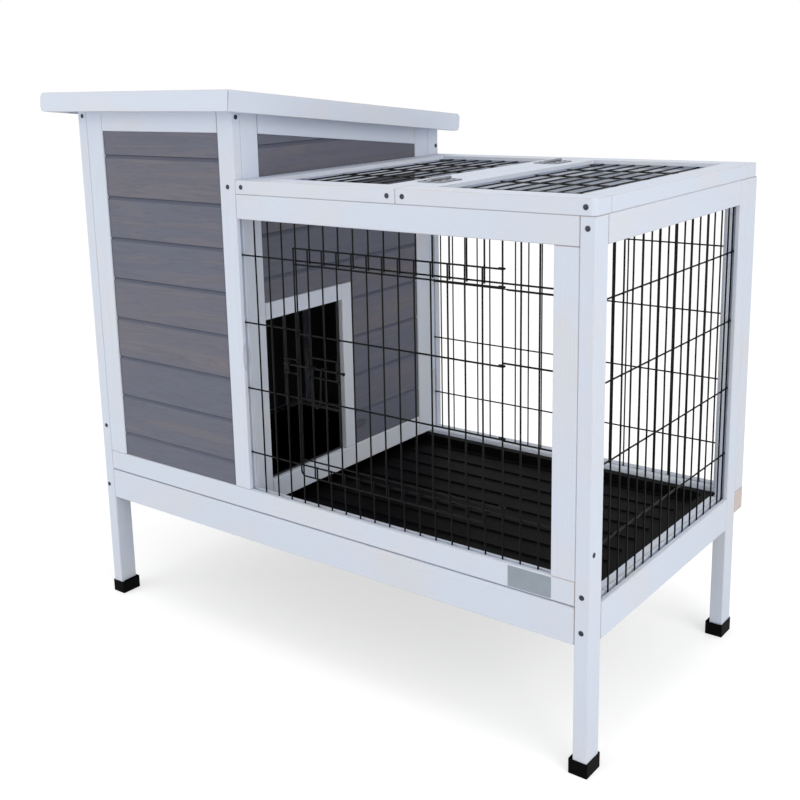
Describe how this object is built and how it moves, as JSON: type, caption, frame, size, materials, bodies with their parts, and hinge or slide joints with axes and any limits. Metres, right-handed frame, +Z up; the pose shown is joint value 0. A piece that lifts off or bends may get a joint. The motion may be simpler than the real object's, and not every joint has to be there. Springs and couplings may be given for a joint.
{
  "type": "outdoor rabbit run",
  "caption": "Raised timber rabbit hutch with a closed house, an attached welded-wire run, a hinged roof, a hinged wire lid, a latched wire door and a pull-out floor tray.",
  "frame": {"origin": "middle of the footprint of the whole object, on the floor under the foot caps", "axes": "+X from the house towards the open run, +Y from the front with the wire door towards the back, +Z up"},
  "size_m": [0.9376, 0.5624, 0.8472],
  "materials": {
    "whitewashed_timber": "planed fir under a thin cold-white wash, grain and knots showing through",
    "grey_boards": "shiplap boards in a blue-grey stain with brown streaks of the bare wood",
    "black_wire": "black coated welded steel wire, satin",
    "black_plastic": "black moulded plastic, satin",
    "roof_felt": "dark grey mineral roofing felt, rough",
    "zinc_hinge": "zinc-plated pressed steel"
  },
  "bodies": {
    "hutch_frame": {"back_bottom_rail": "whitewashed_timber", "back_grille": "black_wire", "back_left_stile": "whitewashed_timber", "back_middle_stile": "whitewashed_timber", "back_right_stile": "whitewashed_timber", "doorway_header": "whitewashed_timber", "doorway_jamb": "whitewashed_timber", "fixed_lid_frame": "whitewashed_timber", "fixed_lid_grille": "black_wire", "foot_cap_back_left": "black_plastic", "foot_cap_back_right": "black_plastic", "foot_cap_front_left": "black_plastic", "foot_cap_front_right": "black_plastic", "front_bottom_rail": "whitewashed_timber", "front_grille": "black_wire", "house_back_boards": "grey_boards", "house_back_top_rail": "whitewashed_timber", "house_front_boards": "grey_boards", "house_front_left_stile": "whitewashed_timber", "house_front_right_stile": "whitewashed_timber", "house_front_top_rail": "whitewashed_timber", "left_wall_boards": "grey_boards", "left_wall_bottom_rail": "whitewashed_timber", "left_wall_top_rail": "whitewashed_timber", "leg_back_left": "whitewashed_timber", "leg_back_right": "whitewashed_timber", "leg_front_left": "whitewashed_timber", "leg_front_right": "whitewashed_timber", "lid_hinge_back_fixed_leaf": "zinc_hinge", "lid_hinge_front_fixed_leaf": "zinc_hinge", "roof_hinge_left_frame_leaf": "zinc_hinge", "roof_hinge_right_frame_leaf": "zinc_hinge", "run_back_top_rail": "whitewashed_timber", "run_front_right_stile": "whitewashed_timber", "run_front_top_rail": "whitewashed_timber", "run_side_bottom_rail": "whitewashed_timber", "run_side_top_rail": "whitewashed_timber", "side_grille": "black_wire", "tray_runner_left": "whitewashed_timber", "tray_runner_right": "whitewashed_timber", "wall_back_stile": "whitewashed_timber", "wall_boards": "grey_boards", "wall_bottom_rail": "whitewashed_timber", "wall_front_stile": "whitewashed_timber", "wall_top_rail": "whitewashed_timber"},
    "roof": {"roof_deck": "whitewashed_timber", "roof_fascia_front": "whitewashed_timber", "roof_fascia_left": "whitewashed_timber", "roof_fascia_right": "whitewashed_timber", "roof_felt": "roof_felt", "roof_hinge_left_roof_leaf": "zinc_hinge", "roof_hinge_right_roof_leaf": "zinc_hinge"},
    "run_lid": {"hinged_lid_frame": "whitewashed_timber", "hinged_lid_grille": "black_wire", "lid_hinge_front_lid_leaf": "zinc_hinge", "lid_hinge_back_lid_leaf": "zinc_hinge"},
    "run_door": {"wire_door": "black_wire"},
    "door_latch": {"door_latch_bolt": "black_wire"},
    "floor_tray": {"tray": "black_plastic", "tray_front_board": "whitewashed_timber"}
  },
  "joints": [
    {"name": "roof_hinge", "type": "hinge", "parent": "hutch_frame", "child": "roof", "pos_m": [-0.26193, 0.2688, 0.77545], "axis": [-1, 0, 0], "range_deg": [0, 100]},
    {"name": "run_lid_hinge", "type": "hinge", "parent": "hutch_frame", "child": "run_lid", "pos_m": [0.18957, 0.0143, 0.72365], "axis": [0, -1, 0], "range_deg": [0, 150]},
    {"name": "run_door_hinge", "type": "hinge", "parent": "hutch_frame", "child": "run_door", "pos_m": [0.34227, -0.2297, 0.464], "axis": [0, 0, 1], "range_deg": [0, 160]},
    {"name": "door_latch_slide", "type": "slide", "parent": "run_door", "child": "door_latch", "axis": [1, 0, 0], "range_m": [0, 0.024]},
    {"name": "floor_tray_slide", "type": "slide", "parent": "hutch_frame", "child": "floor_tray", "axis": [0, -1, 0], "range_m": [0, 0.4]}
  ]
}
